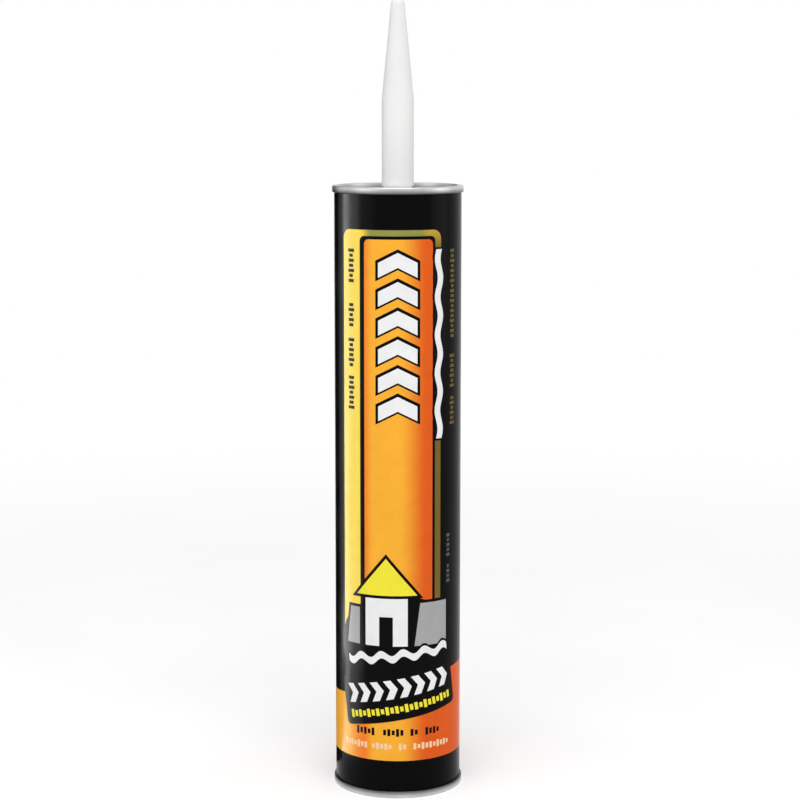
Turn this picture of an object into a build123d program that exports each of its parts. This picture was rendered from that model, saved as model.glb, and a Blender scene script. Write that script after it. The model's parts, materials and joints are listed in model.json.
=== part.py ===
from build123d import *
import math
import os

# A quart cartridge of construction adhesive, standing on its open end.
# The origin is the middle of the face it stands on. Z is the axis of the tube.
# Every size is in millimetres. A depth is measured inwards from the nearer end of the body.

# The body, from one metal rim to the other
body_height = 309.0

# The spiral-wound fibre tube
bore_radius = 30.75
tube_wall = 1.25
pressed_wall = 0.80  # the fibre where the seams squeeze it

# The printed wrap and the lap that closes it at the back
wrap_thickness = 0.15
lap_width = 8.0

# The double seams, the same at both ends
tin = 0.30
seam_height = 3.5
seam_gap = 0.04  # between two layers of a seam
hook_gap = 0.30  # above the tip of each hook
rim_bevel = 0.30  # at the outer corner of the rim

# The bottom ring's wall inside the bore
ring_depth = 6.0

# The top end: a groove inside the rim, then a raised panel with a collar in its middle
groove_depth = 5.0
groove_width = 2.2
groove_lean = 0.35  # how far the groove's inner wall leans
panel_depth = 3.0
collar_depth = 1.35

# The nozzle
shank_radius = 8.05
shank_height = 42.3  # above the rim
nozzle_height = 92.9  # above the rim
tip_radius = 3.4
neck_radius = 6.2  # the neck that the collar grips
base_bevel = 1.2
nozzle_bore_radius = 4.8
nozzle_wall = 1.5
tip_thickness = 3.0
flange_radius = 10.0
flange_thickness = 1.2
collar_gap = 0.05

# The foil seal under the flange
seal_radius = 9.0
seal_thickness = 0.10

# The plunger
plunger_depth = 12.0  # the free room under it, for a gun's push plate
plunger_height = 12.0
plunger_gap = 0.05  # between its lips and the bore
lip_height = 1.8
lip_reach = 0.65  # how far a lip stands out from the skirt
skirt_wall = 1.3
crown_thickness = 1.6
rib_count = 4  # each rib runs right across
rib_thickness = 1.2
rib_height = 3.5

# The paste between the plunger and the top end
paste_gap = 0.05  # to the bore
paste_end_gap = 0.30  # to the plunger and to the top end

# Radii that the layers of a seam build up to, from the bore outwards
chuck_out = bore_radius - seam_gap
chuck_in = chuck_out - tin
fibre_neck = bore_radius + pressed_wall
cover_hook_in = fibre_neck + seam_gap
cover_hook_out = cover_hook_in + tin
body_hook_in = cover_hook_out + seam_gap
body_hook_out = body_hook_in + pressed_wall
seaming_wall_in = body_hook_out + seam_gap
rim_radius = seaming_wall_in + tin
tube_radius = bore_radius + tube_wall
wrap_radius = tube_radius + wrap_thickness

# Depths of the same layers
flange_depth = tin + seam_gap
cover_hook_tip = flange_depth + pressed_wall + hook_gap
body_hook_tip = seam_height - tin - hook_gap
shoulder_depth = seam_height + seam_gap

# Where the nozzle meets the top end
collar_in = neck_radius + collar_gap
flange_top = body_height - panel_depth - tin
flange_bottom = flange_top - flange_thickness


def turned(corners):
    """Turns a closed outline of (radius, height) corners about the Z axis."""
    return revolve(Plane.XZ * make_face(Polyline(*corners, close=True)), Axis.Z)


def from_top(corners):
    """Corners given as (radius, depth) below the top rim, as heights."""
    return [(radius, body_height - depth) for radius, depth in corners]


def seam_corners():
    """The metal of a double seam, over the rim and down to the tip of the hook, then back under the rim."""
    return [
        (chuck_in, 0),
        (rim_radius - rim_bevel, 0),
        (rim_radius, rim_bevel),
        (rim_radius, seam_height),
        (cover_hook_in, seam_height),
        (cover_hook_in, cover_hook_tip),
        (cover_hook_out, cover_hook_tip),
        (cover_hook_out, seam_height - tin),
        (seaming_wall_in, seam_height - tin),
        (seaming_wall_in, tin),
        (chuck_out, tin),
    ]


def flanged_end():
    """One end of the fibre tube, from the bore over the flange to the outside of the tube."""
    return [
        (bore_radius, flange_depth),
        (body_hook_out, flange_depth),
        (body_hook_out, body_hook_tip),
        (body_hook_in, body_hook_tip),
        (body_hook_in, flange_depth + pressed_wall),
        (fibre_neck, flange_depth + pressed_wall),
        (fibre_neck, shoulder_depth),
        (tube_radius, shoulder_depth),
    ]


def make_tube():
    return turned(flanged_end() + from_top(flanged_end())[::-1])


def make_wrap():
    """A sleeve, and the strip that its outer edge lays over it at the back."""
    low, high = shoulder_depth, body_height - shoulder_depth
    sleeve = turned([(tube_radius, low), (wrap_radius, low), (wrap_radius, high), (tube_radius, high)])
    lap_radius = wrap_radius + wrap_thickness
    lap = turned([(tube_radius, low), (lap_radius, low), (lap_radius, high), (tube_radius, high)])
    back = Pos(0, wrap_radius, body_height / 2) * Box(lap_width, wrap_radius, body_height)
    return sleeve + (lap & back)


def make_bottom_ring():
    return turned([(chuck_in, ring_depth), *seam_corners(), (chuck_out, ring_depth)])


def make_top_end():
    groove_in = chuck_in - groove_width
    panel_radius = groove_in - groove_lean
    top_face = [
        (collar_in, collar_depth),
        (collar_in + tin, collar_depth),
        (collar_in + tin, panel_depth),
        (panel_radius, panel_depth),
        (groove_in, groove_depth),
        (chuck_in, groove_depth),
    ]
    under_face = [
        (chuck_out, groove_depth + tin),
        (groove_in - tin, groove_depth + tin),
        (panel_radius - tin, panel_depth + tin),
        (collar_in, panel_depth + tin),
    ]
    return turned(from_top(top_face + seam_corners() + under_face))


def make_nozzle():
    """The outline of one half, from the inside of the closed tip down the bore and up the outside."""
    tip_centre = nozzle_height - tip_radius
    reach = math.hypot(shank_radius, tip_centre - shank_height)
    lean = math.asin(shank_radius / reach) - math.asin(tip_radius / reach)
    slope = math.tan(lean)
    bore_cone_start = shank_radius - nozzle_wall / math.cos(lean)
    bore_start = shank_height + (bore_cone_start - nozzle_bore_radius) / slope
    bore_end = nozzle_height - tip_thickness
    bore_end_radius = bore_cone_start - slope * (bore_end - shank_height)
    neck_top = body_height - collar_depth + collar_gap
    tip_top = (0, body_height + nozzle_height)
    tip_side = (tip_radius * math.cos(lean), body_height + tip_centre + tip_radius * math.sin(lean))
    sides = Polyline(
        tip_top,
        (0, body_height + bore_end),
        (bore_end_radius, body_height + bore_end),
        (nozzle_bore_radius, body_height + bore_start),
        (nozzle_bore_radius, flange_bottom),
        (flange_radius, flange_bottom),
        (flange_radius, flange_top),
        (neck_radius, flange_top),
        (neck_radius, neck_top),
        (shank_radius - base_bevel, neck_top),
        (shank_radius, neck_top + base_bevel),
        (shank_radius, body_height + shank_height),
        tip_side,
    )
    tip = RadiusArc(tip_side, tip_top, -tip_radius)
    return revolve(Plane.XZ * make_face(sides + tip), Axis.Z)


def make_foil_seal():
    return Pos(0, 0, flange_bottom - seal_thickness / 2) * Cylinder(seal_radius, seal_thickness)


def make_plunger():
    """A cup that opens downwards, with a sealing lip at each end of its skirt and ribs under its crown."""
    bottom, top = plunger_depth, plunger_depth + plunger_height
    lip_radius = bore_radius - plunger_gap
    skirt_out = lip_radius - lip_reach
    skirt_in = skirt_out - skirt_wall
    ceiling = top - crown_thickness
    cup = turned(
        [
            (0, ceiling),
            (skirt_in, ceiling),
            (skirt_in, bottom),
            (lip_radius, bottom),
            (skirt_out, bottom + lip_height),
            (skirt_out, top - lip_height),
            (lip_radius, top),
            (0, top),
        ]
    )
    rib_length = skirt_in + skirt_out
    rib = Pos(0, 0, ceiling - rib_height) * Box(
        rib_length, rib_thickness, rib_height + crown_thickness / 2, align=(Align.CENTER, Align.CENTER, Align.MIN)
    )
    return cup + [Rot(0, 0, 180 / rib_count * number) * rib for number in range(rib_count)]


def make_adhesive():
    low = plunger_depth + plunger_height + paste_end_gap
    high = body_height - groove_depth - tin - paste_end_gap
    paste_radius = bore_radius - paste_gap
    return Pos(0, 0, (low + high) / 2) * Cylinder(paste_radius, high - low)


nodes = {
    "tube_body": make_tube(),
    "label_wrap": make_wrap(),
    "top_end": make_top_end(),
    "bottom_ring": make_bottom_ring(),
    "nozzle": make_nozzle(),
    "foil_seal": make_foil_seal(),
    "plunger": make_plunger(),
    "adhesive": make_adhesive(),
}

os.makedirs("parts", exist_ok=True)
for name, shape in nodes.items():
    export_step(shape, f"parts/{name}.step")
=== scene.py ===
import json
import math

import bmesh
import bpy
from mathutils import Matrix, Vector

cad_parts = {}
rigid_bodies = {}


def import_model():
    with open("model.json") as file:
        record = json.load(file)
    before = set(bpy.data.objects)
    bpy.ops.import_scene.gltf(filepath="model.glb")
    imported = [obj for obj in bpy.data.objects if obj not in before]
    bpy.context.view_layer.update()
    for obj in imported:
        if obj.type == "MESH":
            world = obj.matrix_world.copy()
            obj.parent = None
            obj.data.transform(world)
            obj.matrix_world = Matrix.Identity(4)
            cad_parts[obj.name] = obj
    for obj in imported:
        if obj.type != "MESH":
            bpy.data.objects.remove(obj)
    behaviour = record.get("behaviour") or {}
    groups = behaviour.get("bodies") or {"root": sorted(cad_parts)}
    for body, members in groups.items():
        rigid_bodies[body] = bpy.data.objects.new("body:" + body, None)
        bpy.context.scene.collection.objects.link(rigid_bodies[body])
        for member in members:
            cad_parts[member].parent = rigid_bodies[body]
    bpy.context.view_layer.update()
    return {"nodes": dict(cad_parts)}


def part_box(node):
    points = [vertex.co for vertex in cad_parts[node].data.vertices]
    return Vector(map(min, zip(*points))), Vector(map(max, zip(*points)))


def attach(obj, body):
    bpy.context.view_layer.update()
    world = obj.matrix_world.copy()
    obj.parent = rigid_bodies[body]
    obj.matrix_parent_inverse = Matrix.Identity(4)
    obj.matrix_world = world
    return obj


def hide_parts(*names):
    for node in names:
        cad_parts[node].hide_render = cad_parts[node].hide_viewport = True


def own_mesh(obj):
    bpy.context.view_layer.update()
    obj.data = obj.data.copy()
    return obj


# A quart cartridge of construction adhesive, dressed piece by piece in the order of its making.
# Sizes are in millimetres, and each mesh is scaled to metres as it is finished. The lamps and
# the camera are placed in metres. Angles are in degrees round the tube: 0 at the front of the
# print, and growing to its right.

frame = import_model()


# The fibre tube. It is wound in a spiral from strips of kraft board, and both its ends are
# flanged outwards and hooked down for the metal ends' seams.

MM = 0.001
ROUND_STEPS = 256
BEND_STEPS = 5
TOUCHING = 1e-4


def reach_of(name):
    """A node's outer radius and its lowest and highest points, in millimetres."""
    low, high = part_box(name)
    return high.x / MM, low.z / MM, high.z / MM


def section(corners):
    """The outline of a wall in the X-Z plane, from corners of (radius, height, bend radius)."""
    bm = bmesh.new()
    verts = [bm.verts.new((radius, 0, height)) for radius, height, bend in corners]
    bm.faces.new(verts)
    for size in sorted({bend for radius, height, bend in corners if bend}):
        sharp = [vert for vert, corner in zip(verts, corners) if corner[2] == size]
        bmesh.ops.bevel(
            bm, geom=sharp, offset=size, offset_type="OFFSET", segments=BEND_STEPS,
            profile=0.5, affect="VERTICES", material=-1,
        )
    bmesh.ops.delete(bm, geom=bm.faces[:], context="FACES_ONLY")
    middle = [edge for edge in bm.edges if all(vert.co.x < TOUCHING for vert in edge.verts)]
    bmesh.ops.delete(bm, geom=middle, context="EDGES")
    return bm


def turned(corners):
    """A section spun once round the Z axis and closed."""
    bm = section(corners)
    bmesh.ops.spin(
        bm, geom=bm.verts[:] + bm.edges[:], cent=(0, 0, 0), axis=(0, 0, 1), dvec=(0, 0, 0),
        angle=math.tau, steps=ROUND_STEPS, use_merge=True,
    )
    bmesh.ops.remove_doubles(bm, verts=bm.verts[:], dist=TOUCHING)
    bmesh.ops.recalc_face_normals(bm, faces=bm.faces[:])
    return bm


def finished(name, bm, material, sharp_above=28):
    """The mesh as an object in metres, shaded smooth but for its edges above that angle."""
    bmesh.ops.scale(bm, vec=(MM, MM, MM), verts=bm.verts[:])
    mesh = bpy.data.meshes.new(name)
    bm.to_mesh(mesh)
    bm.free()
    mesh.shade_smooth()
    mesh.set_sharp_from_angle(angle=math.radians(sharp_above))
    mesh.materials.append(material)
    made = bpy.data.objects.new(name, mesh)
    bpy.context.scene.collection.objects.link(made)
    return made


def add(tree, kind, **values):
    """A shader node, with its settings and the values of its unlinked inputs."""
    node = tree.nodes.new(kind)
    for name, value in values.items():
        socket = node.inputs.get(name.replace("_", " "))
        if socket is None:
            setattr(node, name, value)
        else:
            socket.default_value = value
    return node


def worked(tree, operation, *values):
    """The result of a Math node on sockets and plain numbers."""
    node = add(tree, "ShaderNodeMath", operation=operation)
    for socket, value in zip(node.inputs, values):
        if isinstance(value, bpy.types.NodeSocket):
            tree.links.new(value, socket)
        else:
            socket.default_value = value
    return node.outputs[0]


def ranged(tree, value, from_low, from_high, to_low=0.0, to_high=1.0, **settings):
    """A value carried over from one range to another."""
    ends = {"From_Min": from_low, "From_Max": from_high, "To_Min": to_low, "To_Max": to_high}
    node = add(tree, "ShaderNodeMapRange", **settings, **ends)
    tree.links.new(value, node.inputs["Value"])
    return node.outputs["Result"]


def object_place(tree):
    """A point's place in its own object, in metres."""
    return add(tree, "ShaderNodeTexCoord").outputs["Object"]


def noise(tree, place, **values):
    """The strength of a noise texture at a place."""
    texture = add(tree, "ShaderNodeTexNoise", **values)
    tree.links.new(place, texture.inputs["Vector"])
    return texture.outputs["Fac"]


def toned(tree, value, stops, interpolation="LINEAR"):
    """A colour that follows a value, through stops of (value, colour)."""
    ramp = add(tree, "ShaderNodeValToRGB")
    ramp.color_ramp.interpolation = interpolation
    while len(ramp.color_ramp.elements) < len(stops):
        ramp.color_ramp.elements.new(0.5)
    for element, (place, colour) in zip(ramp.color_ramp.elements, stops):
        element.position = place
        element.color = (*colour, 1)
    tree.links.new(value, ramp.inputs["Fac"])
    return ramp.outputs["Color"]


def blended(tree, kind, share, colour, other):
    """A colour that is mixed with another one, or multiplied by it, by a share."""
    factor, first_colour, second_colour, mixed_colour = 0, 6, 7, 2
    mix = add(tree, "ShaderNodeMix", data_type="RGBA", blend_type=kind)
    mix.inputs[second_colour].default_value = (*other, 1)
    tree.links.new(share, mix.inputs[factor])
    tree.links.new(colour, mix.inputs[first_colour])
    return mix.outputs[mixed_colour]


def bumped(tree, height, normal, strength, distance):
    """Gives a normal socket the bumps of a height."""
    bump = add(tree, "ShaderNodeBump", Strength=strength, Distance=distance)
    tree.links.new(height, bump.inputs["Height"])
    tree.links.new(bump.outputs["Normal"], normal)


def surface(name, **values):
    """A new material's tree and its Principled shader, with the shader's constants set."""
    material = bpy.data.materials.new(name)
    material.use_nodes = True
    tree = material.node_tree
    shader = tree.nodes["Principled BSDF"]
    for label, value in values.items():
        shader.inputs[label.replace("_", " ")].default_value = value
    return material, tree, shader


def group_of(name, inputs, outputs):
    """An empty node group, with its input and output nodes."""
    tree = bpy.data.node_groups.new(name, "ShaderNodeTree")
    for label, kind, value in inputs:
        tree.interface.new_socket(label, in_out="INPUT", socket_type=kind).default_value = value
    for label, kind in outputs:
        tree.interface.new_socket(label, in_out="OUTPUT", socket_type=kind)
    return tree, tree.nodes.new("NodeGroupInput"), tree.nodes.new("NodeGroupOutput")


def placed(tree, group):
    """A node group's node in a tree."""
    node = tree.nodes.new("ShaderNodeGroup")
    node.node_tree = group
    return node


def tube_place_group():
    """Where a point lies on the tube: its angle round the axis and its height in millimetres."""
    tree, _, out = group_of(
        "place on the tube", [], [("Angle", "NodeSocketFloat"), ("Height", "NodeSocketFloat")]
    )
    link = tree.links.new
    parts = add(tree, "ShaderNodeSeparateXYZ")
    link(object_place(tree), parts.inputs[0])
    forward = worked(tree, "MULTIPLY", parts.outputs["Y"], -1)
    turn = worked(tree, "ARCTAN2", parts.outputs["X"], forward)
    link(worked(tree, "DEGREES", turn), out.inputs["Angle"])
    link(worked(tree, "MULTIPLY", parts.outputs["Z"], 1 / MM), out.inputs["Height"])
    return tree


tube_place = tube_place_group()


def kraft_board():
    """Brown board with fine fibres, and a dark line along the spiral where its strips meet."""
    strip_width = 62.0
    joint_share = 0.012
    material, tree, shader = surface("kraft board", Roughness=0.72, Specular_IOR_Level=0.3)
    place = placed(tree, tube_place)
    turns = worked(tree, "DIVIDE", place.outputs["Angle"], 360)
    rows = worked(tree, "DIVIDE", place.outputs["Height"], strip_width)
    across_strip = worked(tree, "FRACT", worked(tree, "ADD", turns, rows))
    joint = ranged(tree, across_strip, 0.0, joint_share, 1.0, 0.0)
    fibres = noise(tree, object_place(tree), Scale=700.0, Detail=5.0, Roughness=0.65)
    board = toned(tree, fibres, [(0.3, (0.25, 0.17, 0.10)), (0.75, (0.42, 0.31, 0.19))])
    jointed = blended(tree, "MULTIPLY", joint, board, (0.35, 0.30, 0.26))
    tree.links.new(jointed, shader.inputs["Base Color"])
    bumped(tree, fibres, shader.inputs["Normal"], strength=0.4, distance=0.00012)
    return material


paste_gap = 0.05
tube_wall = 1.25
pressed_wall = 0.80
tin = 0.30
seam_gap = 0.04
hook_gap = 0.30
seam_height = 3.5
body_height = reach_of("top_end")[2]
bore_radius = reach_of("adhesive")[0] + paste_gap
tube_radius = bore_radius + tube_wall

flange_depth = tin + seam_gap
cover_hook_in = bore_radius + pressed_wall + seam_gap
cover_hook_out = cover_hook_in + tin
body_hook_in = cover_hook_out + seam_gap
body_hook_out = body_hook_in + pressed_wall


def from_top(corners):
    """Corners whose heights are depths below the top rim, turned into heights."""
    return [(radius, body_height - depth, bend) for radius, depth, bend in corners]


flanged_end = [
    (bore_radius, flange_depth, 0.3),
    (body_hook_out, flange_depth, 0.5),
    (body_hook_out, seam_height - tin - hook_gap, 0.1),
    (body_hook_in, seam_height - tin - hook_gap, 0.1),
    (body_hook_in, flange_depth + pressed_wall, 0),
    (bore_radius + pressed_wall, flange_depth + pressed_wall, 0),
    (bore_radius + pressed_wall, seam_height + seam_gap, 0),
    (tube_radius, seam_height + seam_gap, 0.2),
]
fibre_tube = finished(
    "fibre_tube", turned(flanged_end + from_top(flanged_end)[::-1]), kraft_board()
)
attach(fibre_tube, "cartridge")
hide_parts("tube_body")


# The printed wrap. One sheet of thin white paper, printed in offset on a black ground and
# varnished, rolled round the fibre tube and glued down where its edges lap at the back.

VARNISH_SHINE = 0.045
CORNER_STEPS = 6
STRIP_ANGLE = 1.5
STAND_UP = Matrix.Rotation(math.radians(90), 3, "X")
NOISE_SPAN = (0.3, 0.7)  # where nearly all the values of a noise lie
wrap_radius, wrap_low, wrap_high = reach_of("label_wrap")


def clouded(tree, colour, value, amount):
    """A colour made a little paler and darker by a noise."""
    centred = ranged(tree, value, *NOISE_SPAN, -1.0, 1.0)
    level = worked(tree, "ADD", worked(tree, "MULTIPLY", centred, amount), 1)
    scaled = add(tree, "ShaderNodeVectorMath", operation="SCALE")
    tree.links.new(colour, scaled.inputs[0])
    tree.links.new(level, scaled.inputs["Scale"])
    return scaled.outputs[0]


def varnish_group():
    """The varnished print: an ink with faint mottle, the varnish's gloss and the sheet's grain."""
    tree, given, out = group_of(
        "varnished print",
        [("Ink", "NodeSocketColor", (0.5, 0.5, 0.5, 1)), ("Mottle", "NodeSocketFloat", 0.05)],
        [("Color", "NodeSocketColor"), ("Roughness", "NodeSocketFloat"), ("Normal", "NodeSocketVector")],
    )
    place = object_place(tree)
    mottle = noise(tree, place, Scale=140.0, Detail=4.0, Roughness=0.6)
    inked = clouded(tree, given.outputs["Ink"], mottle, given.outputs["Mottle"])
    tree.links.new(inked, out.inputs["Color"])
    streaks = noise(tree, place, Scale=45.0, Detail=3.0)
    tree.links.new(ranged(tree, streaks, *NOISE_SPAN, 0.16, 0.25), out.inputs["Roughness"])
    grain = noise(tree, place, Scale=1500.0, Detail=3.0, Roughness=0.6)
    bumped(tree, grain, out.inputs["Normal"], strength=0.12, distance=0.00003)
    return tree


varnished = varnish_group()


def finish_from(tree, group_node, shader):
    """Gives a shader the colour, roughness and normal of a finish."""
    for label, socket in (("Color", "Base Color"), ("Roughness", "Roughness"), ("Normal", "Normal")):
        tree.links.new(group_node.outputs[label], shader.inputs[socket])


def printed(name, ink=None, mottle=0.04):
    """A material for one ink under the varnish, and its tree and varnish node."""
    material, tree, shader = surface(name, Specular_IOR_Level=VARNISH_SHINE)
    print_node = placed(tree, varnished)
    print_node.inputs["Mottle"].default_value = mottle
    if ink:
        print_node.inputs["Ink"].default_value = (*ink, 1)
    finish_from(tree, print_node, shader)
    return material, tree, print_node


black_ink = printed("black ink", (0.0012, 0.0012, 0.0014), mottle=0.25)[0]

wrap = finished(
    "printed_wrap",
    turned(
        [
            (tube_radius, wrap_low, 0),
            (wrap_radius, wrap_low, 0.05),
            (wrap_radius, wrap_high, 0.05),
            (tube_radius, wrap_high, 0),
        ]
    ),
    black_ink,
)
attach(wrap, "cartridge")
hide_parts("label_wrap")


def cut(bm, point, normal, clear_outer=False):
    """Cuts a mesh along a plane, and can clear away what lies beyond it."""
    return bmesh.ops.bisect_plane(
        bm, geom=bm.verts[:] + bm.edges[:] + bm.faces[:], dist=TOUCHING,
        plane_co=point, plane_no=normal, clear_outer=clear_outer,
    )


def rolled(bm, radius, thickness, about=0.0):
    """A flat shape in the X-Z plane, cut in narrow strips, rolled round the tube and made thick."""
    strip = math.radians(STRIP_ANGLE) * wrap_radius
    places = [vert.co.x for vert in bm.verts]
    first = math.ceil(min(places) / strip)
    last = math.floor(max(places) / strip)
    for number in range(first, last + 1):
        cut(bm, (number * strip, 0, 0), (1, 0, 0))
    bmesh.ops.remove_doubles(bm, verts=bm.verts[:], dist=10 * TOUCHING)
    for vert in bm.verts:
        angle = vert.co.x / wrap_radius + math.radians(about)
        vert.co = Vector((radius * math.sin(angle), -radius * math.cos(angle), vert.co.z))
    bm.normal_update()
    level = Vector((1, 1, 0))
    inward = [face for face in bm.faces if face.normal.dot(face.calc_center_median() * level) < 0]
    bmesh.ops.reverse_faces(bm, faces=inward)
    bmesh.ops.solidify(bm, geom=bm.faces[:], thickness=thickness)
    bmesh.ops.recalc_face_normals(bm, faces=bm.faces[:])
    return bm


def field(left, right, low, high, corner=0.0):
    """A flat rectangle on the sheet, with rounded corners if they are given a radius."""
    bm = bmesh.new()
    bmesh.ops.create_grid(bm, x_segments=1, y_segments=1, size=0.5)
    bmesh.ops.rotate(bm, verts=bm.verts[:], matrix=STAND_UP)
    bmesh.ops.scale(bm, vec=(right - left, 1, high - low), verts=bm.verts[:])
    bmesh.ops.translate(bm, vec=((left + right) / 2, 0, (low + high) / 2), verts=bm.verts[:])
    if corner:
        bmesh.ops.bevel(
            bm, geom=bm.verts[:], offset=corner, offset_type="OFFSET", segments=CORNER_STEPS,
            profile=0.5, affect="VERTICES", material=-1,
        )
    return bm


lap_half = 4.0
sheet_thickness = 0.15
lap_thickness = 0.14  # which leaves a hair's breadth over the sheet below
lap_top = wrap_radius + sheet_thickness
lap_sheet = field(-lap_half, lap_half, wrap_low, wrap_high)
lap = finished("wrap_lap", rolled(lap_sheet, lap_top, lap_thickness, about=180), black_ink)
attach(lap, "cartridge")


# The print's fields of colour. Each is a film of ink a few hundredths of a millimetre thick:
# a yellow frame open at its foot, an orange panel inside it, and an orange band round the foot.

INK_STEP = 0.02


def arc(degrees):
    """The length round the wrap of an angle, which is where it falls on the flat sheet."""
    return math.radians(degrees) * wrap_radius


def joined(shapes):
    """Flat shapes side by side as one."""
    whole = bmesh.new()
    for shape in shapes:
        flat = bpy.data.meshes.new("flat")
        shape.to_mesh(flat)
        shape.free()
        whole.from_mesh(flat)
        bpy.data.meshes.remove(flat)
    return whole


def laid(name, bm, layer, material):
    """A flat shape rolled on the wrap as its layer of ink, riding with the cartridge."""
    ink = finished(name, rolled(bm, wrap_radius + layer * INK_STEP, INK_STEP), material)
    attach(ink, "cartridge")
    return ink


def toned_round(tree, first, last, stops):
    """A colour that runs round the tube between two angles, through stops of (angle, colour)."""
    place = placed(tree, tube_place)
    share = ranged(tree, place.outputs["Angle"], first, last)
    shares = [((angle - first) / (last - first), colour) for angle, colour in stops]
    return toned(tree, share, shares, "EASE")


deep_orange = (0.93, 0.215, 0.022)
amber = (0.985, 0.455, 0.040)
red_orange = (0.78, 0.115, 0.015)
orange_ink, orange_tree, orange_print = printed("orange ink")
orange_round = toned_round(
    orange_tree, -180, 180,
    [
        (-180, red_orange), (-112, red_orange), (-76, amber), (-52, amber), (-33, deep_orange),
        (-22, amber), (0, amber), (27, red_orange), (180, red_orange),
    ],
)
orange_tree.links.new(orange_round, orange_print.inputs["Ink"])

yellow = (0.985, 0.72, 0.09)
olive = (0.30, 0.29, 0.075)
gold = (0.55, 0.36, 0.04)
old_gold = (0.19, 0.13, 0.028)
fade_foot, fade_top = 279.0, 287.0
yellow_ink, yellow_tree, yellow_print = printed("yellow ink")
yellow_round = toned_round(
    yellow_tree, -60, 60,
    [(-60, yellow), (-36, yellow), (-24, olive), (20, olive), (31, gold), (60, gold)],
)
yellow_place = placed(yellow_tree, tube_place)
in_fade = ranged(yellow_tree, yellow_place.outputs["Height"], fade_foot, fade_top)
on_right = worked(yellow_tree, "GREATER_THAN", yellow_place.outputs["Angle"], 0)
aged = worked(yellow_tree, "MULTIPLY", worked(yellow_tree, "SUBTRACT", 1, in_fade), on_right)
yellow_faded = blended(yellow_tree, "MIX", aged, yellow_round, old_gold)
yellow_tree.links.new(yellow_faded, yellow_print.inputs["Ink"])

frame_left, frame_right = arc(-56.5), arc(41.7)
frame_top, frame_foot, frame_corner = 288.2, 80.0, 4.6
bar_width, top_width, line_width, hole_corner = 11.6, 3.0, 3.6, 2.6
closed_foot, open_foot = 1.0, 4.0  # the ring is made closed, and its foot is cut away
hole_left, hole_right = frame_left + bar_width, frame_right - line_width
frame_ring = joined([
    field(frame_left, frame_right, frame_foot, frame_top, frame_corner),
    field(hole_left, hole_right, frame_foot + closed_foot, frame_top - top_width, hole_corner),
])
bmesh.ops.delete(frame_ring, geom=frame_ring.faces[:], context="FACES_ONLY")
bmesh.ops.bridge_loops(frame_ring, edges=frame_ring.edges[:])
cut(frame_ring, (0, 0, frame_foot + open_foot), (0, 0, -1), clear_outer=True)
laid("print_yellow_frame", frame_ring, 1, yellow_ink)

panel_left, panel_right = arc(-31.2), arc(32.6)
panel_top, panel_foot, panel_corner = 283.6, 70.0, 2.4
panel = field(panel_left, panel_right, panel_foot, panel_top, panel_corner)
laid("print_orange_panel", panel, 1, orange_ink)

band_low, band_middle, band_lean = 19.4, 58.3, 7.8
band = turned(
    [
        (wrap_radius, band_low, 0),
        (wrap_radius + INK_STEP, band_low, 0),
        (wrap_radius + INK_STEP, band_middle + 2 * band_lean, 0),
        (wrap_radius, band_middle + 2 * band_lean, 0),
    ]
)
band_slope = band_lean / wrap_radius
band_cut = cut(band, (0, 0, band_middle), (-band_slope, 0, 1), clear_outer=True)["geom_cut"]
cut_edges = [item for item in band_cut if isinstance(item, bmesh.types.BMEdge)]
bmesh.ops.bridge_loops(band, edges=cut_edges)
bmesh.ops.recalc_face_normals(band, faces=band.faces[:])
orange_band = finished("print_orange_band", band, orange_ink)
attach(orange_band, "cartridge")

lap_film = field(-lap_half, lap_half, band_low, band_middle + band_lean)
cut(lap_film, (0, 0, band_middle), (band_slope, 0, 1), clear_outer=True)
lap_film = rolled(lap_film, lap_top + INK_STEP / 2, INK_STEP, about=180)
lap_band = finished("print_lap_band", lap_film, orange_ink)
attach(lap_band, "cartridge")


# The print's motifs, in white, black, grey and gold inks: chevrons that point to the nozzle,
# wavy beads, rows of short dashes, a house between two boards on a mound, and a leaning plate.

white_ink = printed("white ink", (0.88, 0.88, 0.89))[0]
grey_ink = printed("grey ink", (0.40, 0.40, 0.40))[0]
dark_grey_ink = printed("dark grey ink", (0.10, 0.10, 0.10))[0]
gold_ink = printed("gold ink", (0.14, 0.10, 0.025))[0]
lemon_ink = printed("lemon ink", (0.93, 0.82, 0.05))[0]
cream_ink = printed("cream ink", (0.95, 0.66, 0.40))[0]
outline_ink = printed("outline ink", (0.003, 0.0025, 0.0025), mottle=0.25)[0]


def chevron(half_width, rise, limb, foot):
    """A flat chevron that points up, with the lowest points of its limbs at a height."""
    bm = bmesh.new()
    left, right = -half_width, half_width
    outline = [(left, 0), (0, rise), (right, 0), (right, limb), (0, rise + limb), (left, limb)]
    verts = [bm.verts.new((across, 0, foot + up)) for across, up in outline]
    bm.faces.new([verts[0], verts[1], verts[4], verts[5]])
    bm.faces.new([verts[1], verts[2], verts[3], verts[4]])
    return bm


chevron_count = 6
chevrons_low, chevrons_high = 193.5, 279.0
chevron_pitch = (chevrons_high - chevrons_low) / chevron_count
chevron_half, chevron_rise, chevron_limb, chevron_edge = 9.9, 5.0, 7.4, 1.4
for number in range(chevron_count):
    foot = chevrons_low + number * chevron_pitch
    for name, grow, layer, ink in (("edge", chevron_edge, 2, outline_ink), ("face", 0, 3, white_ink)):
        steeper = grow * chevron_rise / chevron_half
        shape = chevron(
            chevron_half + grow, chevron_rise + steeper, chevron_limb + 2 * grow,
            foot - grow - steeper / 2,
        )
        laid(f"print_chevron_{name}_{number + 1}", shape, layer, ink)

BEAD_WAVES = 5
BEAD_STEPS = 90


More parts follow.
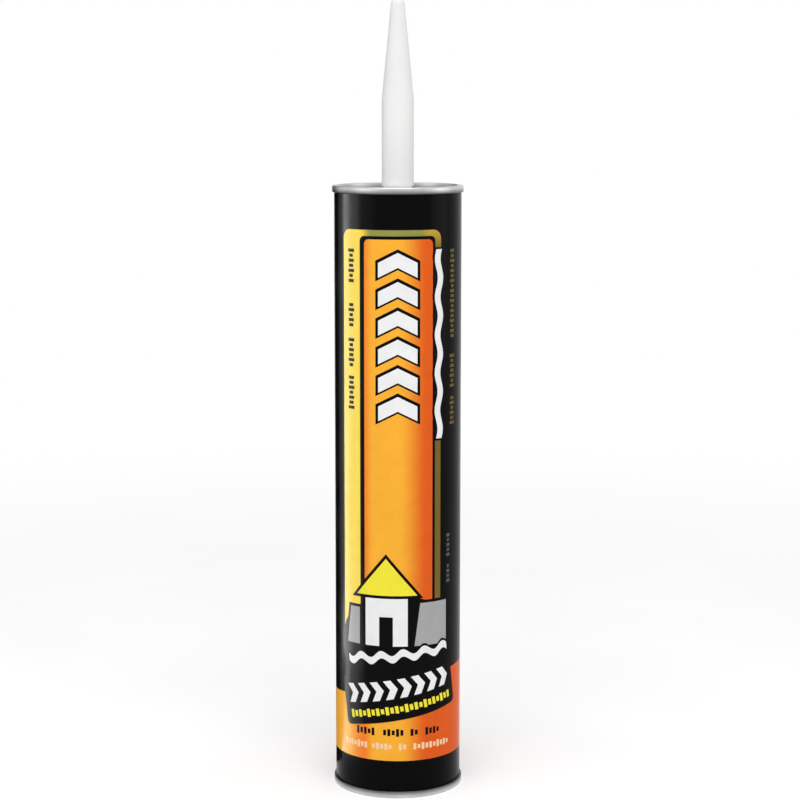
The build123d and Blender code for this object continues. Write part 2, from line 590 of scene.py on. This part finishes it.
def bead(across, low, high, width, swing):
    """A flat wavy ribbon that runs up the sheet."""
    bm = bmesh.new()
    bmesh.ops.create_grid(bm, x_segments=1, y_segments=BEAD_STEPS, size=0.5)
    bmesh.ops.rotate(bm, verts=bm.verts[:], matrix=STAND_UP)
    for vert in bm.verts:
        share = vert.co.z + 0.5
        wave = swing * math.sin(share * BEAD_WAVES * math.tau)
        vert.co = Vector((across + vert.co.x * width + wave, 0, low + share * (high - low)))
    return bm


bead_middle, bead_low, bead_high, bead_swing = arc(39.5), 184.0, 278.5, 0.9
for name, width, longer, layer, ink in [
    ("print_bead_shadow", 6.4, 1.0, 2, outline_ink),
    ("print_bead", 3.6, 0.0, 3, white_ink),
]:
    ribbon = bead(bead_middle, bead_low - longer, bead_high + longer, width, bead_swing)
    laid(name, ribbon, layer, ink)

dash_lengths = (1.0, 0.72, 0.9, 0.6)


def dashes(spans, across, length, thickness, gap, upright):
    """Rows of short dashes side by side, whose lengths repeat a pattern."""
    marks = []
    for low, high in spans:
        count = int((high - low + gap) / (thickness + gap))
        for step in range(count):
            at = low + step * (thickness + gap)
            half = length * dash_lengths[len(marks) % len(dash_lengths)] / 2
            if upright:
                marks.append(field(at, at + thickness, across - half, across + half))
            else:
                marks.append(field(across - half, across + half, at, at + thickness))
    return joined(marks)


dark_spans = [(198.6, 216.0), (220.0, 236.0), (240.0, 254.0), (262.0, 280.4)]
gold_spans = [(190.2, 205.0), (209.0, 227.0), (234.0, 278.9)]
grey_spans = [(109.6, 120.0), (123.0, 134.9)]
dash_thickness, dash_gap = 1.6, 0.9
for colour, across, length, layer, ink, spans in [
    ("dark", arc(-46.0), 4.2, 3, outline_ink, dark_spans),
    ("gold", arc(57.5), 4.0, 1, gold_ink, gold_spans),
    ("grey", arc(52.0), 2.6, 1, dark_grey_ink, grey_spans),
]:
    rows = dashes(spans, across, length, dash_thickness, dash_gap, upright=False)
    laid(f"print_{colour}_dashes", rows, layer, ink)


def convex(corners, grow=0.0):
    """A flat convex shape from its corners, anticlockwise, grown by the width of an outline."""
    bm = bmesh.new()
    points = [Vector(corner) for corner in corners]
    verts = []
    for before, point, after in zip(points[-1:] + points[:-1], points, points[1:] + points[:1]):
        sides = [(point - before).normalized(), (after - point).normalized()]
        out_1, out_2 = [Vector((side.y, -side.x)) for side in sides]
        moved = point + (out_1 + out_2) * grow / (1 + out_1.dot(out_2))
        verts.append(bm.verts.new((moved.x, 0, moved.y)))
    bm.faces.new(verts)
    return bm


def tilted(bm, degrees, across, height):
    """A flat shape turned on the sheet about a point, with its right end upwards."""
    turn = Matrix.Rotation(math.radians(-degrees), 3, "Y")
    bmesh.ops.rotate(bm, verts=bm.verts[:], cent=(across, 0, height), matrix=turn)
    return bm


ground = 79.0
mound_radius, mound_stretch, mound_steps = 26.0, 1.28, 120
mound = bmesh.new()
bmesh.ops.create_circle(mound, cap_ends=True, segments=mound_steps, radius=mound_radius)
bmesh.ops.rotate(mound, verts=mound.verts[:], matrix=STAND_UP)
bmesh.ops.scale(mound, vec=(mound_stretch, 1, 1), verts=mound.verts[:])
bmesh.ops.translate(mound, vec=(0, 0, ground), verts=mound.verts[:])
laid("print_mound", mound, 2, outline_ink)

wall_front = [(-17.0, ground), (5.0, ground), (5.0, 106.0), (-17.0, 106.0)]
door = [(-9.5, ground), (-2.5, ground), (-2.5, 94.0), (-9.5, 94.0)]
roof = [(-22.0, 105.0), (10.0, 105.0), (-6.0, 124.0)]
board_left = [(-29.0, ground), (-20.5, ground), (-20.5, 98.0), (-26.5, 98.0)]
board_right = [(8.5, ground), (27.5, ground), (27.5, 101.0), (11.5, 101.0)]
house_edge = 1.5
for name, corners, layer, ink in [
    ("house", wall_front, 3, white_ink),
    ("roof", roof, 5, lemon_ink),
    ("board_left", board_left, 3, grey_ink),
    ("board_right", board_right, 3, grey_ink),
]:
    laid(f"print_{name}_edge", convex(corners, house_edge), layer, outline_ink)
    laid(f"print_{name}", convex(corners), layer + 1, ink)
laid("print_door", convex(door), 5, outline_ink)

ground_bead_half, ground_bead_height = 28.0, 74.0
ground_bead_lean, ground_bead_swing = -84, 1.5
ground_bead_low = ground_bead_height - ground_bead_half
ground_bead_high = ground_bead_height + ground_bead_half
for name, width, layer, ink in (("edge", 6.4, 6, outline_ink), ("line", 3.8, 7, white_ink)):
    ribbon = bead(0.0, ground_bead_low, ground_bead_high, width, ground_bead_swing)
    lying = tilted(ribbon, ground_bead_lean, 0, ground_bead_height)
    laid(f"print_ground_bead_{name}", lying, layer, ink)

plate_lean, plate_across, plate_middle = 10.0, 0.8, 53.5
plate_left, plate_right, plate_low, plate_high, plate_corner = -31.5, 33.0, 41.0, 66.0, 2.4
arrow_count, arrow_pitch, arrows_left, arrows_middle = 8, 7.2, -24.4, 57.2
arrow_half, arrow_rise, arrow_limb = 4.9, 2.9, 3.9
dash_left, dash_right, dash_middle, dash_length = -27.5, 29.5, 46.6, 4.2
arrows = []
for number in range(arrow_count):
    arrow = chevron(arrow_half, arrow_rise, arrow_limb, -(arrow_rise + arrow_limb) / 2)
    tilted(arrow, -90, 0, 0)
    place = (arrows_left + number * arrow_pitch, 0, arrows_middle)
    bmesh.ops.translate(arrow, vec=place, verts=arrow.verts[:])
    arrows.append(arrow)
plate = field(plate_left, plate_right, plate_low, plate_high, plate_corner)
dash_thickness, dash_gap = 1.7, 0.8
plate_dashes = dashes(
    [(dash_left, dash_right)], dash_middle, dash_length, dash_thickness, dash_gap, upright=True
)
for name, shape, layer, ink in [
    ("ground", plate, 8, outline_ink),
    ("chevrons", joined(arrows), 9, white_ink),
    ("line", plate_dashes, 9, lemon_ink),
]:
    laid(f"print_plate_{name}", tilted(shape, plate_lean, plate_across, plate_middle), layer, ink)

line_shares = (1.0, 0.96, 1.0, 0.93, 0.98, 0.6, 1.0, 0.97, 1.0, 0.94, 0.55)
line_pitch, line_thickness = 3.0, 1.0
block_width = (len(line_shares) - 1) * line_pitch + line_thickness
blocks = [(96.0, 150.0), (158.0, 205.0), (213.0, 268.0)]
for side, middle in (("right", arc(128)), ("left", arc(-128))):
    lines = []
    for low, high in blocks:
        for column, share in enumerate(line_shares):
            across = middle - block_width / 2 + column * line_pitch
            lines.append(field(across, across + line_thickness, high - (high - low) * share, high))
    laid(f"print_back_lines_{side}", joined(lines), 1, dark_grey_ink)

dark_spans = [(-22.5, -10.0), (-7.5, 4.0), (6.5, 12.0), (14.5, 22.9)]
pale_spans = [(-31.0, -16.0), (-13.5, -2.0), (0.5, 5.0), (8.0, 29.9)]
dash_thickness, dash_gap = 1.5, 0.7
for colour, height, length, ink, spans in [
    ("dark", 34.2, 4.0, outline_ink, dark_spans),
    ("pale", 26.8, 3.6, cream_ink, pale_spans),
]:
    rows = dashes(spans, height, length, dash_thickness, dash_gap, upright=True)
    laid(f"print_foot_{colour}_dashes", rows, 2, ink)


# The two metal ends' shared finish: bright tinplate, with the fine marks that the seaming rolls
# leave round the rim. The panel is brightest. The seams are painted darker, as painted shade for
# the dim surroundings that they reflect, and more painted shade darkens them away from the rim's
# edge: outside towards the wrap, as a painted dark reflection of it, and inside towards the groove.

chuck_out = bore_radius - seam_gap
chuck_in = chuck_out - tin
seaming_wall_in = body_hook_out + seam_gap
rim_radius = reach_of("bottom_ring")[0]


def tinplate():
    """Metal whose tone, painted shade included, hangs on its distance from the axis and its depth from
    the rim's edge.
    """
    marks_per_degree = 0.02
    rim_middle = chuck_out + 0.5
    panel_edge = (chuck_in - 1.2, chuck_in - 0.1)
    outer_shade_depths, inner_shade_depths = (1.1, 3.4), (0.5, 2.2)
    # Painted shade: the seams' tone stands for their dim reflections, the outer tone for the black wrap
    # reflected low on the outer wall, and the inner tone for the shade down the inner wall.
    seam_shade_tone, outer_shade_tone, inner_shade_tone = (0.76,) * 3, (0.10,) * 3, (0.55,) * 3
    material, tree, shader = surface("tinplate", Metallic=1.0)
    link = tree.links.new
    place = placed(tree, tube_place)
    unrolled = add(tree, "ShaderNodeCombineXYZ")
    link(worked(tree, "MULTIPLY", place.outputs["Angle"], marks_per_degree), unrolled.inputs["X"])
    link(place.outputs["Height"], unrolled.inputs["Z"])
    roll_marks = noise(tree, unrolled.outputs[0], Scale=9.0, Detail=4.0, Roughness=0.6)
    cloud = noise(tree, object_place(tree), Scale=60.0, Detail=4.0, Roughness=0.6)
    colour = toned(tree, cloud, [(0.25, (0.61, 0.61, 0.62)), (0.75, (0.79, 0.79, 0.795))])

    above_middle = worked(tree, "SUBTRACT", place.outputs["Height"], body_height / 2)
    depth = worked(tree, "SUBTRACT", body_height / 2, worked(tree, "ABSOLUTE", above_middle))
    level = add(tree, "ShaderNodeVectorMath", operation="MULTIPLY")
    level.inputs[1].default_value = (1 / MM, 1 / MM, 0)
    link(object_place(tree), level.inputs[0])
    from_axis = add(tree, "ShaderNodeVectorMath", operation="LENGTH")
    link(level.outputs[0], from_axis.inputs[0])
    radius = from_axis.outputs["Value"]

    on_seam = ranged(tree, radius, *panel_edge)
    on_outside = ranged(tree, radius, chuck_out, rim_middle)
    on_inside = worked(tree, "MULTIPLY", ranged(tree, radius, rim_middle, chuck_out), on_seam)
    # Painted shade on the seam's outer wall, standing for the black wrap it reflects, darker with depth
    # from the rim's edge.
    outer_shade_share = worked(tree, "MULTIPLY", ranged(tree, depth, *outer_shade_depths), on_outside)
    # Painted shade on the seam's inner wall, darker with depth from the rim's edge down into the groove
    # and the bore.
    inner_shade_share = worked(tree, "MULTIPLY", ranged(tree, depth, *inner_shade_depths), on_inside)
    for share, tone in ((on_seam, seam_shade_tone), (outer_shade_share, outer_shade_tone), (inner_shade_share, inner_shade_tone)):
        colour = blended(tree, "MULTIPLY", share, colour, tone)
    link(colour, shader.inputs["Base Color"])
    link(ranged(tree, cloud, *NOISE_SPAN, 0.30, 0.42), shader.inputs["Roughness"])
    bumped(tree, roll_marks, shader.inputs["Normal"], strength=0.25, distance=0.00004)
    return material


bright_tin = tinplate()


def seam_corners():
    """The metal over a rim and round its hook, with heights as depths from the rim's end."""
    return [
        (chuck_in, 0, 0.45),
        (rim_radius, 0, 0.75),
        (rim_radius, seam_height, 0.55),
        (cover_hook_in, seam_height, 0.2),
        (cover_hook_in, flange_depth + pressed_wall + hook_gap, 0),
        (cover_hook_out, flange_depth + pressed_wall + hook_gap, 0),
        (cover_hook_out, seam_height - tin, 0),
        (seaming_wall_in, seam_height - tin, 0.25),
        (seaming_wall_in, tin, 0.45),
        (chuck_out, tin, 0.15),
    ]


# The bottom ring. A narrow ring of tinplate, open in the middle for a gun's push plate,
# double-seamed over the tube's flanged end, with a short wall inside the bore.

ring_depth = reach_of("bottom_ring")[2]
bottom_ring = finished(
    "bottom_ring_metal",
    turned([(chuck_in, ring_depth, 0.1), *seam_corners(), (chuck_out, ring_depth, 0.1)]),
    bright_tin,
)
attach(bottom_ring, "cartridge")
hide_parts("bottom_ring")


# The top end. A pressed tinplate disc, seamed like the ring: a groove inside the rim gives
# way to a raised panel, and a collar in its middle grips the nozzle's neck.

groove_depth = body_height - reach_of("top_end")[1] - tin
groove_width, groove_lean = 2.2, 0.35
groove_in = chuck_in - groove_width
panel_radius = groove_in - groove_lean
panel_depth = 3.0
collar_depth = 1.35
neck_radius, collar_gap = 6.2, 0.05
collar_in = neck_radius + collar_gap
top_corners = [
    (collar_in, collar_depth, 0.1),
    (collar_in + tin, collar_depth, 0.1),
    (collar_in + tin, panel_depth, 0.5),
    (panel_radius, panel_depth, 0.8),
    (groove_in, groove_depth, 0.7),
    (chuck_in, groove_depth, 0.7),
    *seam_corners(),
    (chuck_out, groove_depth + tin, 1.0),
    (groove_in - tin, groove_depth + tin, 1.0),
    (panel_radius - tin, panel_depth + tin, 0.5),
    (collar_in, panel_depth + tin, 0),
]
top_end = finished("top_end_metal", turned(from_top(top_corners)), bright_tin)
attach(top_end, "cartridge")
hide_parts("top_end")


# The foil seal. A disc of aluminium foil heat-sealed under the nozzle's flange, which is
# pierced down the nozzle when the cartridge is first used. The CAD disc keeps its shape.


def crinkled_foil():
    """Bright foil, duller and bent where it is creased."""
    material, tree, shader = surface("crinkled foil", Metallic=1.0, Roughness=0.28)
    creases = add(tree, "ShaderNodeTexVoronoi", Scale=420.0, feature="DISTANCE_TO_EDGE")
    tree.links.new(object_place(tree), creases.inputs["Vector"])
    from_crease = creases.outputs["Distance"]
    tree.links.new(ranged(tree, from_crease, 0.0, 0.3, 0.62, 0.82), shader.inputs["Base Color"])
    bumped(tree, from_crease, shader.inputs["Normal"], strength=0.5, distance=0.0001)
    return material


foil_seal = frame["nodes"]["foil_seal"]
foil_seal.data.materials.clear()
foil_seal.data.materials.append(crinkled_foil())


# The nozzle. Moulded in one shot from natural white polyethylene: a parallel shank, a long
# taper and a closed round tip, hollow almost to its end, held by its flange under the panel.


def moulded_group():
    """Moulded polyethylene: faint clouding, and the soft unevenness of a cooled skin."""
    tree, given, out = group_of(
        "moulded polyethylene",
        [("Plastic", "NodeSocketColor", (0.8, 0.8, 0.8, 1)), ("Clouding", "NodeSocketFloat", 0.03)],
        [("Color", "NodeSocketColor"), ("Roughness", "NodeSocketFloat"), ("Normal", "NodeSocketVector")],
    )
    place = object_place(tree)
    cloud = noise(tree, place, Scale=70.0, Detail=3.0)
    tinted = clouded(tree, given.outputs["Plastic"], cloud, given.outputs["Clouding"])
    tree.links.new(tinted, out.inputs["Color"])
    tree.links.new(ranged(tree, cloud, *NOISE_SPAN, 0.40, 0.52), out.inputs["Roughness"])
    skin = noise(tree, place, Scale=900.0, Detail=2.0)
    bumped(tree, skin, out.inputs["Normal"], strength=0.1, distance=0.00004)
    return tree


moulded = moulded_group()


def polyethylene(name, plastic, clouding):
    """A moulded plastic that lets a little light through."""
    material, tree, shader = surface(
        name, Subsurface_Weight=0.25, Subsurface_Scale=0.003, Specular_IOR_Level=0.4
    )
    skin = placed(tree, moulded)
    skin.inputs["Plastic"].default_value = (*plastic, 1)
    skin.inputs["Clouding"].default_value = clouding
    finish_from(tree, skin, shader)
    return material


flange_radius, flange_low, nozzle_top = reach_of("nozzle")
flange_thickness = 1.2
flange_high = flange_low + flange_thickness
neck_high = body_height - collar_depth + collar_gap
shank_radius, shank_high = 8.05, body_height + 42.3
tip_radius, tip_thickness = 3.4, 3.0
nozzle_bore, nozzle_wall = 4.8, 1.5
tip_centre = nozzle_top - tip_radius
reach = math.hypot(shank_radius, tip_centre - shank_high)
lean = math.asin(shank_radius / reach) - math.asin(tip_radius / reach)
cone_start = shank_radius - nozzle_wall / math.cos(lean)
bore_high = shank_high + (cone_start - nozzle_bore) / math.tan(lean)
bore_end = nozzle_top - tip_thickness
bore_end_radius = cone_start - math.tan(lean) * (bore_end - shank_high)
dome_steps = 14
dome_turns = [lean + (math.pi / 2 - lean) * step / dome_steps for step in range(dome_steps)]
dome = [
    (tip_radius * math.cos(turn), tip_centre + tip_radius * math.sin(turn), 0)
    for turn in dome_turns
]
nozzle = finished(
    "nozzle_moulding",
    turned(
        [
            (0, nozzle_top, 0),
            (0, bore_end, 0),
            (bore_end_radius, bore_end, 0.6),
            (nozzle_bore, bore_high, 0),
            (nozzle_bore, flange_low, 0.2),
            (flange_radius, flange_low, 0.2),
            (flange_radius, flange_high, 0.2),
            (neck_radius, flange_high, 0),
            (neck_radius, neck_high, 0),
            (shank_radius, neck_high, 1.75),
            (shank_radius, shank_high, 0),
            *dome,
        ]
    ),
    polyethylene("nozzle polyethylene", (0.775, 0.775, 0.77), 0.012),
    sharp_above=40,
)
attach(nozzle, "cartridge")
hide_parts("nozzle")


# The adhesive. A thick tan paste with fine filler in it, filled without air between the
# plunger and the top end. It is pressed together as the plunger rises.


def paste():
    """A smooth tan paste with fine filler."""
    material, tree, shader = surface("tan paste", Roughness=0.55, Specular_IOR_Level=0.4)
    filler = noise(tree, object_place(tree), Scale=500.0, Detail=6.0, Roughness=0.7)
    tan = toned(tree, filler, [(0.3, (0.44, 0.34, 0.20)), (0.7, (0.60, 0.49, 0.32))])
    tree.links.new(tan, shader.inputs["Base Color"])
    bumped(tree, filler, shader.inputs["Normal"], strength=0.4, distance=0.0002)
    return material


paste_radius, paste_low, paste_high = reach_of("adhesive")
paste_bend = 0.8
adhesive = finished(
    "adhesive_paste",
    turned(
        [
            (0, paste_low, 0),
            (paste_radius, paste_low, paste_bend),
            (paste_radius, paste_high, paste_bend),
            (0, paste_high, 0),
        ]
    ),
    paste(),
)
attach(adhesive, "cartridge")
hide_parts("adhesive")
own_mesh(adhesive)


# The plunger. A moulded polyethylene cup that opens downwards, with a sealing lip at each
# end of its skirt and ribs across its crown, where a gun's push plate bears.

lip_radius, plunger_low, plunger_high = reach_of("plunger")
lip_height, lip_reach = 1.8, 0.65
skirt_wall, crown_thickness = 1.3, 1.6
skirt_out = lip_radius - lip_reach
skirt_in = skirt_out - skirt_wall
ceiling = plunger_high - crown_thickness
plunger_plastic = polyethylene("plunger polyethylene", (0.78, 0.78, 0.76), 0.03)
plunger = finished(
    "plunger_cup",
    turned(
        [
            (0, ceiling, 0),
            (skirt_in, ceiling, 0.6),
            (skirt_in, plunger_low, 0.25),
            (lip_radius, plunger_low, 0.1),
            (skirt_out, plunger_low + lip_height, 0.3),
            (skirt_out, plunger_high - lip_height, 0.3),
            (lip_radius, plunger_high, 0.1),
            (0, plunger_high, 0),
        ]
    ),
    plunger_plastic,
)
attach(plunger, "plunger")
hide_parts("plunger")

rib_count, rib_thickness, rib_height, rib_bevel = 4, 1.2, 3.5, 0.25
skirt_sink, crown_sink = 0.1, 0.2  # how far a rib runs into the cup's wall and crown
rib_size = (2 * (skirt_in + skirt_sink), rib_thickness, rib_height + crown_sink)
ribs = bmesh.new()
for number in range(rib_count):
    rib = bmesh.ops.create_cube(ribs, size=1)["verts"]
    bmesh.ops.scale(ribs, vec=rib_size, verts=rib)
    bmesh.ops.translate(ribs, vec=(0, 0, ceiling + (crown_sink - rib_height) / 2), verts=rib)
    turn = Matrix.Rotation(math.pi * number / rib_count, 3, "Z")
    bmesh.ops.rotate(ribs, verts=rib, cent=(0, 0, 0), matrix=turn)
half_way = ceiling - rib_height / 2
bottom_edges = [edge for edge in ribs.edges if all(vert.co.z < half_way for vert in edge.verts)]
bmesh.ops.bevel(
    ribs, geom=bottom_edges, offset=rib_bevel, offset_type="OFFSET", segments=3,
    profile=0.5, affect="EDGES", material=-1,
)
plunger_ribs = finished("plunger_ribs", ribs, plunger_plastic)
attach(plunger_ribs, "plunger")


# The stand: a pale floor that turns to plain white away from the cartridge, under a white
# surround. Reflections see the same white, and the floor keeps the soft shadow.


def seen_group():
    """Whether a ray comes from the camera, from a shine or through something clear."""
    tree, _, out = group_of("seen by the eye", [], [("Seen", "NodeSocketFloat")])
    rays = add(tree, "ShaderNodeLightPath").outputs
    direct = worked(tree, "MAXIMUM", rays["Is Camera Ray"], rays["Is Glossy Ray"])
    seen = worked(tree, "MAXIMUM", direct, rays["Is Transmission Ray"])
    tree.links.new(seen, out.inputs["Seen"])
    return tree


seen_by_eye = seen_group()


def pale_floor():
    """A pale ground that keeps its shadow near the cartridge and is plain white further off."""
    fade_start, fade_end = 0.15, 1.1  # metres from the cartridge's axis
    lift = 0.25
    material, tree, shader = surface("pale floor", Roughness=0.8, Specular_IOR_Level=0.0)
    link = tree.links.new
    place = object_place(tree)
    mottle = noise(tree, place, Scale=8.0, Detail=3.0)
    link(ranged(tree, mottle, *NOISE_SPAN, 0.80, 0.84), shader.inputs["Base Color"])
    seen = placed(tree, seen_by_eye).outputs["Seen"]
    distance = add(tree, "ShaderNodeVectorMath", operation="LENGTH")
    link(place, distance.inputs[0])
    far = ranged(
        tree, distance.outputs["Value"], fade_start, fade_end, interpolation_type="SMOOTHSTEP"
    )
    white = add(tree, "ShaderNodeEmission", Color=(1, 1, 1, 1), Strength=1.0)
    glow = add(tree, "ShaderNodeEmission", Color=(1, 1, 1, 1))
    link(worked(tree, "MULTIPLY", seen, lift), glow.inputs["Strength"])
    near = add(tree, "ShaderNodeAddShader")
    link(shader.outputs[0], near.inputs[0])
    link(glow.outputs[0], near.inputs[1])
    mixed = add(tree, "ShaderNodeMixShader")
    link(worked(tree, "MULTIPLY", far, seen), mixed.inputs[0])
    link(near.outputs[0], mixed.inputs[1])
    link(white.outputs[0], mixed.inputs[2])
    link(mixed.outputs[0], tree.nodes["Material Output"].inputs["Surface"])
    return material


floor_half = 20000
floor_bm = bmesh.new()
bmesh.ops.create_grid(floor_bm, x_segments=1, y_segments=1, size=floor_half)
floor = finished("floor", floor_bm, pale_floor())

ambient_strength = 0.5
world = bpy.data.worlds.new("white surround")
bpy.context.scene.world = world
world.use_nodes = True
sky = world.node_tree
ambient = sky.nodes["Background"]
ambient.inputs["Color"].default_value = (1, 1, 1, 1)
ambient.inputs["Strength"].default_value = ambient_strength
seen_white = add(sky, "ShaderNodeBackground", Color=(1, 1, 1, 1), Strength=1.0)
sky_mix = add(sky, "ShaderNodeMixShader")
sky.links.new(placed(sky, seen_by_eye).outputs["Seen"], sky_mix.inputs[0])
sky.links.new(ambient.outputs[0], sky_mix.inputs[1])
sky.links.new(seen_white.outputs[0], sky_mix.inputs[2])
sky.links.new(sky_mix.outputs[0], sky.nodes["World Output"].inputs["Surface"])


# The lamps: a wide soft box above the front and a weak one at each side. Strips at the left,
# standing and lying face up on the floor, only light the gloss of the print, whose bright band
# is their reflection. A small lamp in front of the nozzle lights nothing else.


def area_lamp(name, width, tall, brightness):
    """A lamp with sizes in metres and its brightness as seen, which the camera doesn't show."""
    lamp = bpy.data.lights.new(name, "AREA")
    lamp.shape = "RECTANGLE"
    lamp.size, lamp.size_y = width, tall
    lamp.energy = brightness * math.pi * width * tall
    holder = bpy.data.objects.new(name, lamp)
    bpy.context.scene.collection.objects.link(holder)
    holder.visible_camera = False
    return holder


def soft_box(name, turn, distance, height, width, tall, brightness, aim_height):
    """A lamp at an angle round the cartridge, which faces a height on its axis."""
    holder = area_lamp(name, width, tall, brightness)
    angle = math.radians(turn)
    holder.location = (distance * math.sin(angle), -distance * math.cos(angle), height)
    aim = Vector((0, 0, aim_height)) - holder.location
    holder.rotation_euler = aim.to_track_quat("-Z", "Y").to_euler()
    return holder


def floor_strip(name, turn, offset, near, far, width, brightness):
    """A lamp that lies face up beside the tube, from near to far along a direction."""
    above_floor = 0.002
    holder = area_lamp(name, width, far - near, brightness)
    angle = math.radians(turn)
    outward = Vector((math.sin(angle), -math.cos(angle), 0))
    aside = Vector((math.cos(angle), math.sin(angle), 0))
    holder.location = outward * (near + far) / 2 + aside * offset + Vector((0, 0, above_floor))
    holder.rotation_euler = (math.pi, 0, angle)
    return holder


print_pieces = bpy.data.collections.new("print pieces")
for thing in bpy.context.scene.objects:
    if thing.type == "MESH" and thing.name.startswith(("print", "wrap")):
        print_pieces.objects.link(thing)


def gloss_only(holder):
    """Keeps a lamp to the shine of the print."""
    holder.visible_diffuse = False
    holder.light_linking.receiver_collection = print_pieces


soft_box(
    "top_box", turn=0, distance=0.75, height=1.55,
    width=1.2, tall=1.2, brightness=3.5, aim_height=0.15,
)

strip_distance, strip_middle, strip_tall = 0.75, 0.5, 1.0
for name, turn, width, brightness in [
    ("left_strip", -105, 0.22, 17.5),
    ("left_glow", -85, 0.30, 7.4),
]:
    strip = soft_box(
        name, turn, distance=strip_distance, height=strip_middle,
        width=width, tall=strip_tall, brightness=brightness, aim_height=strip_middle,
    )
    gloss_only(strip)
strip_start, strip_joint = 0.07, 0.25
for name, turn, offset, near, far, width, brightness in [
    ("left_strip_near", -107, 0.025, strip_start, strip_joint, 0.045, 13.0),
    ("left_strip_far", -107, 0.025, strip_joint, strip_distance, 0.15, 17.5),
    ("left_glow_near", -85, 0.022, strip_start, strip_joint, 0.06, 5.0),
    ("left_glow_far", -85, 0.022, strip_joint, strip_distance, 0.20, 7.4),
]:
    gloss_only(floor_strip(name, turn, offset, near, far, width, brightness))

for name, turn, brightness in (("left_fill", -62, 1.0), ("right_fill", 80, 1.2)):
    soft_box(
        name, turn, distance=1.3, height=0.5,
        width=0.8, tall=0.8, brightness=brightness, aim_height=0.2,
    )

nozzle_piece = bpy.data.collections.new("nozzle piece")
nozzle_piece.objects.link(nozzle)
nozzle_fill = soft_box(
    "nozzle_fill", turn=0, distance=0.09, height=0.335,
    width=0.06, tall=0.03, brightness=1.5, aim_height=0.325,
)
nozzle_fill.light_linking.receiver_collection = nozzle_piece


# A black card at the left and behind, which lies on the floor from near the cartridge and
# then stands. Only reflections see it, as the dark line down the left edge of the print.

card_ink = (0.004, 0.004, 0.004, 1)
card_black = surface("black card", Roughness=0.9, Specular_IOR_Level=0.0, Base_Color=card_ink)[0]
card_width, card_height, card_lift = 440, 1100, 1
card_distance, card_reach, card_near_share, card_turn = 800, 760, 0.2, -146
card_bm = bmesh.new()
bmesh.ops.create_grid(card_bm, x_segments=1, y_segments=1, size=0.5)
bmesh.ops.rotate(card_bm, verts=card_bm.verts[:], matrix=STAND_UP)
bmesh.ops.scale(card_bm, vec=(card_width, 1, card_height), verts=card_bm.verts[:])
card_middle = (0, -card_distance, card_height / 2 + card_lift)
bmesh.ops.translate(card_bm, vec=card_middle, verts=card_bm.verts[:])
card_half = card_height / 2
foot_edge = [edge for edge in card_bm.edges if all(vert.co.z < card_half for vert in edge.verts)]
near_edge = bmesh.ops.extrude_edge_only(card_bm, edges=foot_edge)["geom"]
near_verts = [item for item in near_edge if isinstance(item, bmesh.types.BMVert)]
bmesh.ops.translate(card_bm, vec=(0, card_reach, 0), verts=near_verts)
bmesh.ops.scale(card_bm, vec=(card_near_share, 1, 1), verts=near_verts)
round_left = Matrix.Rotation(math.radians(card_turn), 3, "Z")
bmesh.ops.rotate(card_bm, verts=card_bm.verts[:], cent=(0, 0, 0), matrix=round_left)
card = finished("black_card", card_bm, card_black)
card.visible_camera = False
card.visible_diffuse = False
card.visible_shadow = False


# The camera: level with the middle of the nozzle and tipped down a little, from the front.
# Its lens is long, so that the sides of the tube stay nearly upright.

camera_distance, camera_height, camera_tilt = 1.08, 0.355, 8.18
camera_across = 0.0011
focal_pixels, image_width, sensor_width = 2140, 800, 36
camera_data = bpy.data.cameras.new("camera")
camera_data.sensor_width = sensor_width
camera_data.lens = focal_pixels / image_width * sensor_width
camera = bpy.data.objects.new("camera", camera_data)
camera.location = (camera_across, -camera_distance, camera_height)
camera.rotation_euler = (math.radians(90 - camera_tilt), 0, 0)
bpy.context.scene.collection.objects.link(camera)
bpy.context.scene.camera = camera
bpy.context.scene.view_settings.view_transform = "Standard"
